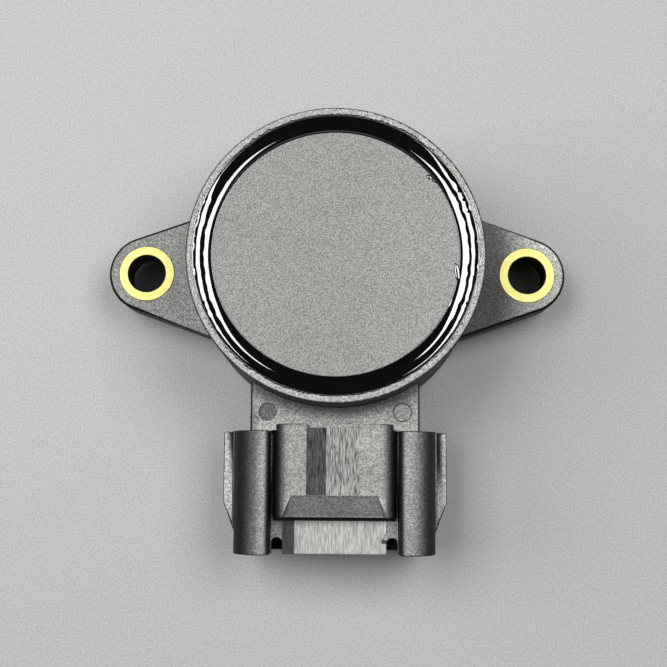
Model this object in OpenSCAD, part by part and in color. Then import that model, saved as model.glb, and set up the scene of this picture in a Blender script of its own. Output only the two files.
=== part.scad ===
/* [Mounting] */
// Distance between the two screw holes
hole_spacing = 54; // [50:0.5:62]
// Thickness of the ears
ear_thick = 5; // [4:0.25:5.5]
// Radius of an ear's round end
ear_tip_r = 5.4; // [4.8:0.1:6.5]
// Radius that the ears' straight edges run to at the sensor's axis
ear_root_r = 14.4; // [12:0.2:16]
// Outer radius of a brass bush
bush_r = 3.9; // [3.4:0.1:4.2]
// Radius of a bush's screw hole
bush_bore_r = 2.7; // [2.1:0.1:2.9]
// Height that a bush stands proud of its ear
bush_proud = 0.1; // [0:0.05:0.3]
// Depth of the groove that locks a bush in its ear
bush_groove = 0.3; // [0.1:0.05:0.5]
// Radius of the locating spigot on the mounting face
spigot_r = 12.5; // [11:0.25:14]
// Length of the spigot
spigot_len = 3; // [2.6:0.1:4]
// Wall of the spigot
spigot_wall = 3; // [2:0.25:4]
// Lead-in chamfer of the spigot
spigot_chamfer = 0.6; // [0.2:0.1:1]

/* [Cup] */
// Outer radius of the rim
rim_r = 19.3; // [18.6:0.1:22]
// Height of the rim above the mounting face
rim_z = 20.5; // [19.6:0.1:23]
// Width of the rim's flat top
rim_land = 1; // [0.7:0.05:1.3]
// Rounding of the rim's outer edge
rim_round = 0.3; // [0.1:0.05:0.5]
// Draft of the cup's outside, in degrees
cup_draft = 1.25; // [0.5:0.25:2]
// Thickness of the cup's wall below the lid
cup_wall = 3; // [2.4:0.1:3.4]
// Thickness of the cup's floor
floor_t = 3; // [2.4:0.1:3.2]
// Width of the sealant seen between lid and rim
seal_w = 2.4; // [1.8:0.1:2.8]
// Depth of the lid's seat below the rim
seat_depth = 3; // [2.6:0.1:3.6]

/* [Lid] */
// Thickness of the flange that the sealant covers
lid_flange_t = 1.2; // [0.8:0.1:1.5]
// Gap between the flange and the rim's wall
lid_gap = 0.15; // [0.1:0.05:0.3]
// Thickness of the lid's top
lid_t = 2; // [1.2:0.1:2.4]
// Height of the skirt that centres the lid in the cup
skirt_h = 1.2; // [0.6:0.1:1.6]
// Thickness of the skirt
skirt_t = 1.1; // [0.8:0.1:1.5]
// Depth of the sealant's surface below the rim at its walls
seal_drop = 0.12; // [0.05:0.01:0.3]
// Sag of the sealant's surface between its walls
seal_sag = 0.35; // [0.15:0.05:0.5]

/* [Neck] */
// Width of the neck
neck_w = 22.4; // [20:0.2:24]
// Height of the neck's top above the mounting face
neck_top = 13.6; // [13:0.1:14]
// Rounding along the neck's top edges
neck_round = 0.5; // [0.2:0.1:0.8]
// Distance of the two ejector marks from the middle
mark_x = 8.9; // [8.2:0.1:9.2]
// Distance of the ejector marks from the sensor's axis, along the connector
mark_y = 20; // [19.4:0.1:20.4]
// Radius of the sunk ejector mark
mark_r = 1.12; // [0.8:0.02:1.3]
// Depth of the sunk ejector mark
mark_depth = 0.16; // [0.05:0.01:0.3]
// Width of the ring round the flush ejector mark
mark_ring = 0.14; // [0.08:0.01:0.2]

/* [Connector] */
// Distance of the connector's rear face from the sensor's axis
shroud_rear = 22.5; // [22.4:0.1:25]
// Length of the connector's shroud
shroud_len = 16.1; // [15.4:0.1:19]
// Width of the shroud
shroud_w = 26.7; // [26:0.1:29]
// Height of the shroud's underside above the mounting face
shroud_bottom = 1; // [0.6:0.1:1.4]
// Height of the shroud's top wall above the mounting face
shroud_top = 11.9; // [11.7:0.1:12.2]
// Rounding of the shroud's lower corners
shroud_round = 1.5; // [0.6:0.1:2]
// Height of each rail's crown above the mounting face
rail_top = 15.2; // [14.9:0.1:16]
// Width of a rail
rail_w = 4.85; // [4.6:0.05:4.9]
// Rounding of a rail's outer side
rail_round = 3.9; // [3:0.1:4]
// Rounding of a rail's inner edge
rail_edge = 0.8; // [0.4:0.1:0.8]
// Step below each rail's flank
side_step = 0.25; // [0.15:0.05:0.4]
// Length of the side step
step_len = 12.6; // [11:0.1:14]
// Reach of each side wing beyond the shroud
wing_reach = 1.8; // [1:0.1:2.5]
// Thickness of a wing
wing_t = 3.2; // [2:0.1:4]
// Height of a wing's top above the mounting face
wing_top = 8.5; // [7:0.1:9.5]
// Length of a wing's straight part
wing_len = 9.4; // [8:0.1:10]
// Length of a wing's taper
wing_taper = 4.8; // [3:0.1:5]

/* [Lock block] */
// Width of the lock block
lock_w = 16.2; // [15.8:0.05:16.4]
// Height of the lock block's top above the mounting face
lock_top = 14.6; // [14.4:0.1:15]
// Rounding along the lock block's sides
lock_round = 2.2; // [1.4:0.1:2.4]
// Rounding of the lock block's rear corners, seen from above
lock_corner = 0.8; // [0.4:0.1:1]
// Distance of the lock block's rear edge from the sensor's axis
lock_rear = 21.6; // [21.5:0.1:22.2]
// Length of the lock block
lock_len = 12.2; // [11.6:0.1:12.8]
// Length of the ramp at its front
ramp_len = 2.9; // [2:0.1:3.5]
// Fall of the ramp
ramp_drop = 1.3; // [0.8:0.1:1.6]
// Width of the ramp at its top
ramp_top_w = 11.2; // [9:0.1:12]
// Width of the ramp at its bottom
ramp_bottom_w = 13.8; // [12.2:0.1:14]
// Width of the channel along the lock block
channel_w = 6.9; // [6:0.1:8]
// Depth of the channel at its deepest line
channel_depth = 0.22; // [0.1:0.02:0.4]
// Distance of the channel's left edge from the middle
channel_left = 3.7; // [3.2:0.1:4]
// Width of the channel's steep left side
channel_fall_w = 2.6; // [1.5:0.1:3]
// Distance of the channel's rear edge from the lock block's rear edge
channel_setback = 0.5; // [0.3:0.05:0.8]
// Length of the groove at the foot of the lock block's front
foot_groove = 0.45; // [0.3:0.05:0.6]
// Depth of that groove below the shroud's top wall
foot_depth = 0.4; // [0.2:0.05:0.5]

/* [Front land] */
// Width of the raised land in front of the lock block
land_w = 13.7; // [12.6:0.1:13.8]
// Height of the land above the shroud's top wall
land_h = 0.3; // [0.2:0.05:0.4]
// Sag of the land between its edges
land_dip = 0.16; // [0.05:0.01:0.18]
// Width of the land's steep left side
land_fall_w = 1.6; // [1:0.1:2.5]
// Length of the two notches beside the land
notch_len = 1.4; // [1:0.1:2]
// Width of a notch
notch_w = 1.5; // [1.1:0.05:1.55]
// Length of the chip broken out of the land's right edge
chip_len = 1.2; // [0.6:0.1:1.6]
// Width of the chip
chip_w = 0.5; // [0.3:0.05:0.8]
// Distance of the chip from the shroud's mouth
chip_y = 1.4; // [0.8:0.1:2]

/* [Socket] */
// Width of the socket
socket_w = 20; // [18.5:0.25:20.5]
// Height of the socket
socket_h = 7.6; // [7.2:0.1:7.7]
// Depth of the socket
socket_depth = 14; // [12:0.25:14.5]
// Rounding of the socket's corners
socket_round = 1; // [0.4:0.1:1.5]
// Thickness of the shroud's wall below the socket
socket_floor = 2; // [1.8:0.1:2.2]

/* [Terminals] */
// Distance between neighbouring terminals
terminal_pitch = 4.2; // [3.6:0.1:4.3]
// Width of a terminal
terminal_w = 1.5; // [1:0.1:1.6]
// Thickness of a terminal
terminal_t = 0.8; // [0.6:0.05:0.8]
// Height of the terminals' middle above the mounting face
terminal_z = 5.4; // [5.2:0.1:5.5]
// Distance of the blade tips from the shroud's mouth
tip_setback = 4.4; // [4.2:0.1:6]
// Chamfer of a blade's tip
tip_chamfer = 0.25; // [0.1:0.05:0.3]
// Distance of a terminal's foot from the sensor's axis
foot_y = 13.3; // [13.2:0.05:13.5]

/* [Board] */
// Thickness of the resistor board
board_t = 1; // [0.8:0.1:1.1]
// Gap between the board and the cup's wall
board_gap = 0.6; // [0.4:0.1:0.8]
// Thickness of the printed tracks
track_t = 0.1; // [0.06:0.01:0.15]
// Width of a printed track
track_w = 0.9; // [0.7:0.05:1]
// Distance between neighbouring tracks
track_pitch = 1.35; // [1.25:0.05:1.4]
// Distance of the inner track from the board's hole
track_margin = 0.18; // [0.15:0.01:0.25]
// Radius of the pegs that locate the board
locator_r = 0.9; // [0.7:0.05:0.95]
// Distance of a peg's middle from the board's edge
locator_in = 1.1; // [1.05:0.05:1.4]
// Height of a peg above the board
locator_proud = 0.4; // [0.2:0.1:0.6]
// Radius of a soldered joint
solder_r = 1.05; // [0.95:0.05:1.15]
// Height of a soldered joint
solder_h = 0.6; // [0.4:0.05:0.7]

/* [Rotor] */
// Radius of the rotor's journal
journal_r = 6; // [5.6:0.1:6.2]
// Running clearance of the journal in its bearing
journal_gap = 0.05; // [0.03:0.01:0.08]
// Wall of the bearing boss
boss_wall = 1.95; // [1.6:0.05:2.1]
// Height of the bearing boss above the cup's floor
boss_h = 2.6; // [2.5:0.05:2.8]
// Thickness of the thrust washer
thrust_t = 0.4; // [0.3:0.05:0.5]
// Radius of the rotor's disc
disc_r = 12.6; // [12.4:0.05:12.7]
// Thickness of the rotor's disc
disc_t = 1.8; // [1.5:0.1:2]
// Radius of the rotor's hub
hub_r = 5.6; // [5.3:0.1:5.9]
// Gap between the hub's end and the lid's boss, filled by the spring washer
washer_gap = 0.8; // [0.6:0.1:1]
// Thickness of the spring washer's sheet
washer_t = 0.2; // [0.15:0.01:0.25]
// Play of the spring washer round the rotor's pin
washer_play = 0.2; // [0.1:0.05:0.3]
// Height of the rotor's hub above its disc
hub_h = 6.6; // [6.2:0.1:7]
// Radius of the pin at the rotor's top
pin_r = 2.4; // [2.1:0.1:2.5]
// Length of the pin
pin_len = 2.8; // [2.2:0.1:3]
// Turn of the rotor from idle to its other stop, in degrees
rotor_turn = 105; // [90:1:108]
// Angle of the stop lug's middle at idle
lug_angle = 45; // [42:1:48]
// Angle that the stop lug takes up
lug_span = 12; // [8:1:14]
// Reach of the stop lug beyond the disc
lug_reach = 2; // [1.8:0.1:2.4]
// Gap between the disc and the stop ribs
rib_gap = 0.6; // [0.5:0.05:0.7]
// Play between the stop lug and its stop, in degrees
stop_play = 0.4; // [0.3:0.1:1]
// Angle that each stop rib takes up
rib_span = 8; // [6:1:10]
// Height of the stop ribs above the cup's floor
rib_h = 6; // [5.2:0.2:7]
// Width of the slot for the throttle shaft's end
drive_w = 4.5; // [4.3:0.1:5]
// Length of the slot
drive_len = 8.4; // [7:0.1:9]
// Depth of the slot
drive_depth = 6.2; // [4.5:0.1:6.6]
// Depth of the journal's end inside the spigot's mouth
journal_setback = 0.8; // [0.5:0.1:1.5]

/* [Wipers] */
// Thickness of a wiper's sheet
wiper_t = 0.2; // [0.15:0.01:0.25]
// Width of a wiper's arm
arm_w = 0.7; // [0.5:0.05:0.8]
// Length of a wiper's arm
arm_len = 4.6; // [4:0.1:5]
// Angle of the signal wiper's tips at idle
signal_angle = -20; // [-24:1:-18]
// Angle of the idle wiper's tips at idle
idle_angle = 100; // [98:1:104]
// Angle that a wiper's base takes up
base_span = 18; // [16:1:20]
// Radius of the staked peg that holds a wiper
stake_r = 0.6; // [0.4:0.05:0.7]

/* [Return spring] */
// Radius of the spring's wire
wire_r = 0.45; // [0.35:0.05:0.5]
// Gap between the rotor's hub and the coil
coil_gap = 0.95; // [0.8:0.05:1.1]
// Number of turns
coil_turns = 4; // [3:1:4]
// Rise of the coil in one turn
coil_pitch = 1.05; // [1.02:0.01:1.1]
// Angle at which both legs leave the coil
leg_angle = 263; // [258:1:268]
// Length of the leg that pushes the rotor
rotor_leg = 8.8; // [8.4:0.1:9]
// Length of the leg that rests in the cup's anchor
anchor_leg = 13.9; // [13.6:0.1:14.2]
// Radius of the rotor's spring post
post_r = 0.9; // [0.7:0.05:1]
// Distance of the post from the coil, along the rotor's leg
post_along = 7.7; // [7.4:0.1:7.9]
// Height of the post
post_h = 2.1; // [1.8:0.1:2.4]
// Radius of the anchor's inner side
anchor_in = 13.4; // [13.2:0.1:13.8]
// Angle at which the anchor block starts
anchor_from = 193; // [191:1:195]
// Angle that the anchor block takes up
anchor_span = 15; // [14:1:17]
// Height of the anchor above the middle of the wire
anchor_lip = 1; // [0.8:0.1:1.4]
// Clearance of the wire in the anchor's slot
slot_gap = 0.06; // [0.04:0.01:0.1]

/* [Hidden] */
$fn = 96;
small_fn = 40;
eps = 0.02;
touch_gap = 0.04;

base_r = rim_r + rim_z * tan(cup_draft);
cavity_r = rim_r - cup_wall;
groove_r = rim_r - rim_land;
lid_r = groove_r - seal_w;
seat_z = rim_z - seat_depth;
flange_r = groove_r - lid_gap;
flange_z = seat_z + lid_flange_t;
skirt_r = cavity_r - lid_gap;
boss_r = journal_r + journal_gap + boss_wall;
boss_top = floor_t + boss_h;
disc_z = boss_top + thrust_t;
disc_top = disc_z + disc_t;
hub_top = disc_top + hub_h;
lid_boss_z = hub_top + washer_gap;
journal_z = journal_setback - spigot_len;
spigot_in_r = spigot_r - spigot_wall;

shroud_front = shroud_rear + shroud_len;
land_top = shroud_top + land_h;
rail_in = shroud_w / 2 - rail_w;
rail_outer = min(rail_round, rail_w - rail_edge - 4 * eps);
lock_front = lock_rear + lock_len;
ramp_start = lock_front - ramp_len;
socket_z = shroud_bottom + socket_floor;
socket_back = shroud_front - socket_depth;
terminal_count = 4;
terminal_mid = (terminal_count - 1) / 2;

board_z = floor_t;
board_top = board_z + board_t;
track_top = board_top + track_t;
board_r = cavity_r - board_gap;
board_hole_r = boss_r + board_gap;
collector_r = board_hole_r + track_margin + track_w / 2;
resist_r = collector_r + track_pitch;
idle_r = resist_r + track_pitch;
pin_hole_r = pin_r + journal_gap;
locator_at = board_r - locator_in;
locator_angles = [186, 340];

wiper_z = disc_z - wiper_t;
wiper_tip_z = track_top + touch_gap;

lug_out = disc_r + lug_reach;
lug_step = 0.2;
rib_in = disc_r + rib_gap;
idle_stop = lug_angle - lug_span / 2 - stop_play - rib_span;
full_stop = lug_angle + lug_span / 2 + stop_play + rotor_turn;

coil_r = hub_r + coil_gap + wire_r;
coil_z = disc_top + wire_r + 3 * touch_gap;
coil_top = coil_z + coil_turns * coil_pitch;

// A flat profile in X and Z, drawn along the connector from one distance to another
module along_connector(from, to) {
    translate([0, -from, 0]) rotate([90, 0, 0]) linear_extrude(to - from) children();
}

// A side profile in Y and Z, drawn along X
module across(from, to) {
    translate([from, 0, 0]) rotate([90, 0, 90]) linear_extrude(to - from) children();
}

// A ring sector from one angle over a span
module sector(inner, outer, low, high, from, span) {
    rotate([0, 0, from]) rotate_extrude(angle = span)
        translate([inner, low]) square([outer - inner, high - low]);
}

// A rectangle with round upper corners, standing on z = low
module round_topped(left, right, low, high, r) {
    translate([left, low]) square([right - left, high - low - r]);
    translate([left + r, low]) square([right - left - 2 * r, high - low]);
    for (x = [left + r, right - r]) translate([x, high - r]) circle(r, $fn = small_fn);
}

// A rectangle with four round corners
module soft_box(left, right, low, high, r) {
    translate([left, low + r]) square([right - left, high - low - 2 * r]);
    translate([left + r, low]) square([right - left - 2 * r, high - low]);
    for (x = [left + r, right - r], z = [low + r, high - r])
        translate([x, z]) circle(r, $fn = small_fn);
}

// One ear: a round end and two straight edges that run into it and to the root circle
module ear_plan() {
    reach = hole_spacing / 2;
    lean = asin((ear_root_r - ear_tip_r) / reach);
    root_x = ear_root_r * sin(lean);
    root_y = ear_root_r * cos(lean);
    edge_r = ear_tip_r - eps / 2;
    tip_x = reach + edge_r * sin(lean);
    tip_y = edge_r * cos(lean);
    translate([reach, 0]) circle(ear_tip_r);
    polygon([[0, -root_y], [root_x, -root_y], [tip_x, -tip_y],
        [tip_x, tip_y], [root_x, root_y], [0, root_y]]);
}

// The cup's outside with its spigot, turned about the sensor's axis
module cup_outside() {
    shoulder_z = rim_z - rim_round;
    shoulder_r = rim_r + (rim_z - shoulder_z) * tan(cup_draft);
    rotate_extrude() {
        polygon([[0, -spigot_len], [spigot_r - spigot_chamfer, -spigot_len],
            [spigot_r, spigot_chamfer - spigot_len], [spigot_r, 0], [base_r, 0],
            [shoulder_r, shoulder_z], [shoulder_r - rim_round, rim_z], [0, rim_z]]);
        translate([shoulder_r - rim_round, shoulder_z]) circle(rim_round, $fn = small_fn);
    }
}

// The cup's inside: lid seat, cavity, bearing boss and the bore through floor and spigot
module cup_inside() {
    bore_r = journal_r + journal_gap;
    rotate_extrude() polygon([[0, -spigot_len - eps], [spigot_in_r, -spigot_len - eps],
        [spigot_in_r, 0], [bore_r, 0], [bore_r, boss_top], [boss_r, boss_top],
        [boss_r, floor_t], [cavity_r, floor_t], [cavity_r, seat_z], [groove_r, seat_z],
        [groove_r, rim_z + eps], [0, rim_z + eps]]);
}

module ears() {
    linear_extrude(ear_thick) {
        ear_plan();
        mirror([1, 0]) ear_plan();
    }
}

module neck() {
    along_connector(cavity_r - rim_land, shroud_rear + eps)
        round_topped(-neck_w / 2, neck_w / 2, shroud_bottom, neck_top, neck_round);
}

// Left mark sunk, right mark flush inside a fine ring
module ejector_marks() {
    translate([-mark_x, -mark_y, neck_top - mark_depth])
        cylinder(r = mark_r, h = mark_depth + eps, $fn = small_fn);
    translate([mark_x, -mark_y, neck_top - mark_depth / 2]) difference() {
        cylinder(r = mark_r + mark_ring, h = mark_depth, $fn = small_fn);
        translate([0, 0, -eps]) cylinder(r = mark_r, h = mark_depth + 2 * eps, $fn = small_fn);
    }
}

// The rails' profiles: a tight rounding on the inner side, a wide one on the outer side
module rails() {
    half = shroud_w / 2;
    low = shroud_bottom + shroud_round;
    crown = rail_in + rail_edge;
    for (side = [0, 1]) mirror([side, 0]) {
        translate([rail_in, low]) square([rail_w, rail_top - rail_outer - low]);
        translate([rail_in, low]) square([rail_w - rail_outer, rail_top - rail_edge - low]);
        translate([crown, low]) square([half - rail_outer - crown, rail_top - low]);
        translate([crown, rail_top - rail_edge]) circle(rail_edge, $fn = small_fn);
        intersection() {
            translate([crown, low]) square([half - crown, rail_top - low]);
            translate([half - rail_outer, rail_top - rail_outer]) circle(rail_outer);
        }
    }
}

module shroud_outside() {
    half = shroud_w / 2;
    along_connector(shroud_rear, shroud_front) {
        soft_box(-half, half, shroud_bottom, shroud_top, shroud_round);
        translate([rail_outer - half, shroud_bottom + shroud_round])
            square([shroud_w - 2 * rail_outer, shroud_top - shroud_bottom - shroud_round]);
        rails();
    }
    along_connector(shroud_rear, shroud_rear + step_len)
        translate([-half - side_step, shroud_bottom + shroud_round])
            square([shroud_w + 2 * side_step, shroud_top - shroud_bottom - shroud_round]);
}

module wings() {
    inner = shroud_w / 2 - eps;
    outer = shroud_w / 2 + wing_reach;
    end = shroud_rear + wing_len;
    translate([0, 0, wing_top - wing_t]) linear_extrude(wing_t)
        for (side = [0, 1]) mirror([side, 0])
            polygon([[inner, -shroud_rear], [outer, -shroud_rear],
                [outer, -end], [inner, -end - wing_taper]]);
}

// The channel's profile: a steep left side and a long shallow right side
module dipped(left, right, top, fall_w, dip) {
    polygon([[left, top + 1], [left, top], [left + fall_w, top - dip],
        [right, top], [right, top + 1]]);
}

// The lock block: round sides, a ramp between flared walls, and a channel along its top
module lock_block() {
    half = lock_w / 2;
    channel_right = channel_w - channel_left;
    channel_rear = lock_rear + channel_setback;
    difference() {
        intersection() {
            along_connector(lock_rear - eps, lock_front)
                round_topped(-half, half, shroud_top - land_h, lock_top, lock_round);
            linear_extrude(lock_top + 1)
                round_topped(-half - eps, half + eps, -lock_front - 1, -lock_rear, lock_corner);
        }
        intersection() {
            across(-half, half) polygon([[-ramp_start, lock_top],
                [-lock_front - eps, lock_top - ramp_drop], [-lock_front - eps, lock_top + 1],
                [-ramp_start, lock_top + 1]]);
            linear_extrude(lock_top + 1) polygon([[-ramp_top_w / 2, -ramp_start],
                [ramp_top_w / 2, -ramp_start], [ramp_bottom_w / 2, -lock_front - eps],
                [-ramp_bottom_w / 2, -lock_front - eps]]);
        }
        along_connector(lock_rear - eps, ramp_start)
            dipped(-channel_left, channel_right, lock_top, channel_fall_w, channel_depth);
        translate([-channel_left, -channel_rear, neck_top])
            cube([channel_w, channel_setback + eps, lock_top]);
    }
}

// The groove between the lock block's front and the land
module lock_groove() {
    translate([-lock_w / 2, -lock_front - foot_groove, shroud_top - foot_depth])
        cube([lock_w, foot_groove, land_h + foot_depth + eps]);
}

// The land in front of the lock block, with the chip in its right edge
module front_land() {
    half = land_w / 2;
    difference() {
        along_connector(lock_front - lock_round, shroud_front) difference() {
            translate([-half, shroud_top - land_h]) square([land_w, 2 * land_h]);
            dipped(-half, half, land_top, land_fall_w, land_dip);
        }
        translate([half, chip_y + chip_len / 2 - shroud_front, shroud_top])
            linear_extrude(2 * land_h) polygon([[eps, -chip_len / 2],
                [-chip_w / 2, -chip_len / 2], [-chip_w, 0], [-chip_w / 3, chip_len / 3],
                [-chip_w / 2, chip_len / 2], [eps, chip_len / 2]]);
    }
}

// Two notches through the top wall beside the land, with round ends
module notches() {
    for (side = [0, 1]) mirror([side, 0, 0])
        translate([(land_w + notch_w) / 2, notch_len - shroud_front, socket_z + socket_h - socket_round]) {
            cylinder(r = notch_w / 2, h = shroud_top, $fn = small_fn);
            translate([-notch_w / 2, -notch_len - eps, 0]) cube([notch_w, notch_len + eps, shroud_top]);
        }
}

module socket() {
    along_connector(socket_back, shroud_front + eps)
        soft_box(-socket_w / 2, socket_w / 2, socket_z, socket_z + socket_h, socket_round);
}

module stop_ribs() {
    for (from = [idle_stop, full_stop])
        sector(rib_in, cavity_r + eps, floor_t - eps, floor_t + rib_h, from, rib_span);
}

// Block on the cup's wall that holds the return spring's upper leg in a slot
module spring_anchor() {
    difference() {
        sector(anchor_in, cavity_r + eps, floor_t - eps, coil_top + anchor_lip, anchor_from, anchor_span);
        translate([coil_r * cos(leg_angle), coil_r * sin(leg_angle), coil_top])
            rotate([0, 0, leg_angle - 90]) leg_slot();
    }
}

module leg_slot() {
    width = wire_r + slot_gap;
    translate([0, -width, -width])
        cube([anchor_leg + slot_gap, 2 * width, 2 * (width + anchor_lip)]);
}

module board_locators() {
    for (a = locator_angles) rotate([0, 0, a]) translate([locator_at, 0, floor_t - eps])
        cylinder(r = locator_r, h = board_t + locator_proud + eps, $fn = small_fn);
}

// The housing, one moulding
module housing() {
    color([0.24, 0.24, 0.23]) difference() {
        union() {
            difference() {
                union() {
                    cup_outside();
                    ears();
                    neck();
                    shroud_outside();
                    wings();
                    lock_block();
                    front_land();
                }
                cup_inside();
            }
            stop_ribs();
            spring_anchor();
            board_locators();
        }
        ejector_marks();
        socket();
        notches();
        lock_groove();
        for (side = [-1, 1]) translate([side * hole_spacing / 2, 0, 0]) bush_solid();
        for (i = [0 : terminal_count - 1]) terminal_at(i);
    }
}

// A bush's outside with its locking groove
module bush_solid() {
    groove_low = ear_thick / 3;
    groove_high = 2 * groove_low;
    rotate_extrude($fn = small_fn) polygon([[0, 0], [bush_r, 0], [bush_r, groove_low],
        [bush_r - bush_groove, groove_low + bush_groove],
        [bush_r - bush_groove, groove_high - bush_groove],
        [bush_r, groove_high], [bush_r, ear_thick + bush_proud], [0, ear_thick + bush_proud]]);
}

module bush(side) {
    top = ear_thick + bush_proud;
    translate([side * hole_spacing / 2, 0, 0]) difference() {
        bush_solid();
        translate([0, 0, -eps]) cylinder(r = bush_bore_r, h = top + 2 * eps);
    }
}

module bush_left() {
    color([0.87, 0.85, 0.45]) bush(-1);
}

module bush_right() {
    color([0.87, 0.85, 0.45]) bush(1);
}

// The lid: flange under the sealant, skirt inside the cup, boss for the rotor's pin
module lid() {
    inner_z = rim_z - lid_t;
    boss_out = pin_hole_r + boss_wall;
    skirt_in = skirt_r - skirt_t;
    pin_top = hub_top + pin_len + lid_gap;
    color([0.45, 0.45, 0.44]) rotate_extrude() polygon([[0, pin_top], [pin_hole_r, pin_top],
        [pin_hole_r, lid_boss_z], [boss_out, lid_boss_z], [boss_out, inner_z],
        [skirt_in, inner_z], [skirt_in, seat_z - skirt_h], [skirt_r, seat_z - skirt_h],
        [skirt_r, seat_z], [flange_r, seat_z], [flange_r, flange_z], [lid_r, flange_z],
        [lid_r, rim_z], [0, rim_z]]);
}

// The sealant ring, its surface sagging between lid and rim
module sealant_ring() {
    top = rim_z - seal_drop;
    half = seal_w / 2;
    sag_r = (half * half + seal_sag * seal_sag) / (2 * seal_sag);
    color([0.03, 0.03, 0.03]) rotate_extrude() difference() {
        translate([lid_r, flange_z]) square([seal_w, top - flange_z]);
        translate([lid_r + half, top - seal_sag + sag_r]) circle(sag_r);
    }
}

// A terminal: blade in the socket, stem through the neck, foot down to the board
module terminal_at(i) {
    half = terminal_t / 2;
    low = terminal_z - half;
    high = terminal_z + half;
    tip = tip_setback - shroud_front;
    foot_in = half - foot_y;
    foot_out = -half - foot_y;
    across((i - terminal_mid) * terminal_pitch - terminal_w / 2,
        (i - terminal_mid) * terminal_pitch + terminal_w / 2)
        polygon([[tip, low + tip_chamfer], [tip + tip_chamfer, low], [foot_out, low],
            [foot_out, track_top], [foot_in, track_top], [foot_in, high],
            [tip + tip_chamfer, high], [tip, high - tip_chamfer]]);
}

module terminal(i) {
    color([0.78, 0.76, 0.7]) terminal_at(i);
}

// Sectors cleared in the board for the ribs and the anchor, which also locate it
module board_notches() {
    play = 2;
    for (from = [idle_stop, full_stop])
        sector(rib_in - board_gap / 2, cavity_r, 0, board_top + eps, from - play, rib_span + 2 * play);
    sector(anchor_in - board_gap / 2, cavity_r, 0, board_top + eps,
        anchor_from - play, anchor_span + 2 * play);
}

module resistor_board() {
    color([0.25, 0.42, 0.3]) difference() {
        translate([0, 0, board_z]) cylinder(r = board_r, h = board_t);
        translate([0, 0, board_z - eps]) cylinder(r = board_hole_r, h = board_t + 2 * eps);
        board_notches();
        for (a = locator_angles) rotate([0, 0, a]) translate([locator_at, 0, 0])
            cylinder(r = locator_r + touch_gap, h = board_top + eps, $fn = small_fn);
    }
}

module track_arc(r, from, span) {
    sector(r - track_w / 2, r + track_w / 2, board_top, track_top, from, span);
}

// Collector, resistive and idle tracks, and a pad under each terminal's foot
module tracks() {
    margin = 10;
    idle_span = 2 * margin;
    color([0.15, 0.14, 0.13]) {
        track_arc(collector_r, signal_angle - margin, idle_angle - signal_angle + rotor_turn + 2 * margin);
        track_arc(resist_r, signal_angle - margin, rotor_turn + 2 * margin);
        track_arc(idle_r, idle_angle - margin, idle_span);
    }
    color([0.75, 0.7, 0.5]) for (i = [0 : terminal_count - 1])
        translate([(i - terminal_mid) * terminal_pitch, -foot_y, board_top])
            cylinder(r = solder_r, h = track_t, $fn = small_fn);
}

module solder_joints() {
    color([0.7, 0.7, 0.72]) for (i = [0 : terminal_count - 1]) difference() {
        translate([(i - terminal_mid) * terminal_pitch, -foot_y, track_top])
            cylinder(r1 = solder_r, r2 = solder_r - solder_h / 4, h = solder_h, $fn = small_fn);
        terminal_at(i);
    }
}

// Angle between an arm's tip and its root, which both lie at the track's radius
function arm_angle(r) = 2 * asin(arm_len / (2 * r));

// Places children in the middle of a wiper's base
module stake_at(angle, outer_r) {
    rotate([0, 0, angle + arm_angle(outer_r) + base_span / 2])
        translate([(collector_r + outer_r) / 2, 0, 0]) children();
}

// The rotor: journal and drive slot below, disc with stop lug, hub and pin above
module rotor() {
    color([0.8, 0.78, 0.7]) difference() {
        union() {
            rotate_extrude() polygon([[0, journal_z], [journal_r - spigot_chamfer / 2, journal_z],
                [journal_r, journal_z + spigot_chamfer / 2], [journal_r, disc_z], [disc_r, disc_z],
                [disc_r, disc_top], [hub_r, disc_top], [hub_r, hub_top], [pin_r, hub_top],
                [pin_r, hub_top + pin_len], [0, hub_top + pin_len]]);
            sector(disc_r - rib_gap, lug_out, disc_z + lug_step, disc_top - lug_step,
                lug_angle - lug_span / 2, lug_span);
            spring_post();
            stake_at(signal_angle, resist_r) stake();
            stake_at(idle_angle, idle_r) stake();
        }
        translate([-drive_w / 2, -drive_len / 2, journal_z - eps])
            cube([drive_w, drive_len, drive_depth + eps]);
    }
}

// Moulded peg through a wiper's base, its end staked flat
module stake() {
    head_r = stake_r + wiper_t;
    translate([0, 0, wiper_z - wiper_t]) cylinder(r = stake_r, h = 3 * wiper_t, $fn = small_fn);
    translate([0, 0, wiper_z - wiper_t]) cylinder(r = head_r, h = wiper_t, $fn = small_fn);
}

// Post on the disc that the return spring's lower leg pushes against
module spring_post() {
    off = coil_r + wire_r + post_r + touch_gap;
    rotate([0, 0, leg_angle]) translate([off, post_along, disc_top - eps])
        cylinder(r = post_r, h = post_h, $fn = small_fn);
}

// A sprung arm: flat at the base, sloping down to a foot on its track
module wiper_arm(r, angle) {
    foot = 2 * wiper_t;
    root_low = wiper_z + eps;
    root_high = disc_z - eps;
    rotate([0, 0, angle]) translate([r, 0, 0]) rotate([0, 0, arm_angle(r) / 2])
        across(-arm_w / 2, arm_w / 2) polygon([[0, wiper_tip_z], [foot, wiper_tip_z],
            [arm_len, root_low], [arm_len + foot, root_low], [arm_len + foot, root_high],
            [arm_len - wiper_t, root_high], [foot - wiper_t, wiper_tip_z + wiper_t],
            [0, wiper_tip_z + wiper_t]]);
}

// A wiper: a flat base staked under the disc and two arms, one for each of its tracks
module wiper(angle, outer_r) {
    color([0.8, 0.72, 0.42]) difference() {
        union() {
            sector(collector_r - arm_w / 2, outer_r + arm_w / 2, wiper_z, disc_z,
                angle + arm_angle(outer_r), base_span);
            wiper_arm(collector_r, angle);
            wiper_arm(outer_r, angle);
        }
        stake_at(angle, outer_r) translate([0, 0, wiper_z - eps])
            cylinder(r = stake_r, h = wiper_t + 2 * eps, $fn = small_fn);
    }
}

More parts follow.
